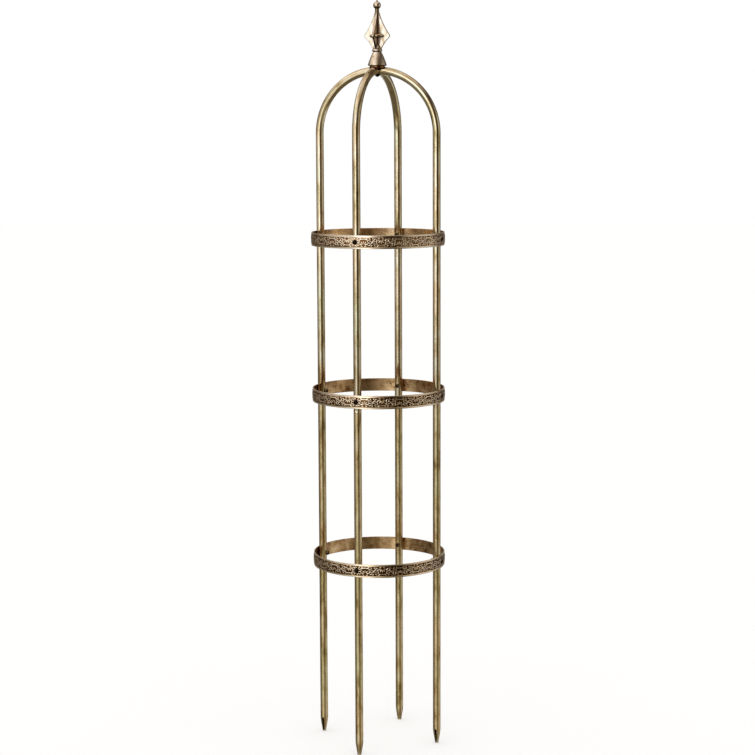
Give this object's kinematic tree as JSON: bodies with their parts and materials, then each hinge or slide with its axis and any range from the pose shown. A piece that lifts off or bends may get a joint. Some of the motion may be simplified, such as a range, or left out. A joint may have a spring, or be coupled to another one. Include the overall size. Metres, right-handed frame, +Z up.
{
  "type": "garden obelisk",
  "caption": "Tall round open obelisk for climbing plants: crossed tube hoops on pointed legs, embossed bands and a spear finial.",
  "frame": {"origin": "on the ground, in the middle of the four leg tips", "axes": "+Z up along the obelisk's axis; the four uprights stand on the X and Y axes, front is -Y and right is +X"},
  "size_m": [0.3328, 0.3328, 1.8228],
  "materials": {
    "upper_tube": "steel tube, antique brass plated and brushed, clear lacquer",
    "lower_tube": "steel tube, antique brass plated, duller and more speckled",
    "embossed_band": "rolled embossed strip, antique brass plated with dark patina in the recesses",
    "cast_finial": "cast metal, antique brass plated",
    "blackened_hardware": "blackened steel screws, nuts and washer"
  },
  "bodies": {
    "root": {"hoop_left_right": "upper_tube", "hoop_front_back": "upper_tube", "leg_right": "lower_tube", "leg_back": "lower_tube", "leg_left": "lower_tube", "leg_front": "lower_tube", "band_bottom": "embossed_band", "screws_bottom": "blackened_hardware", "nuts_bottom": "blackened_hardware", "band_middle": "embossed_band", "screws_middle": "blackened_hardware", "nuts_middle": "blackened_hardware", "band_top": "embossed_band", "screws_top": "blackened_hardware", "nuts_top": "blackened_hardware", "finial_bell": "cast_finial", "finial_collar": "cast_finial", "finial_spear": "cast_finial", "finial_ball": "cast_finial", "crown_bolt": "blackened_hardware", "crown_washer": "blackened_hardware"}
  },
  "joints": []
}
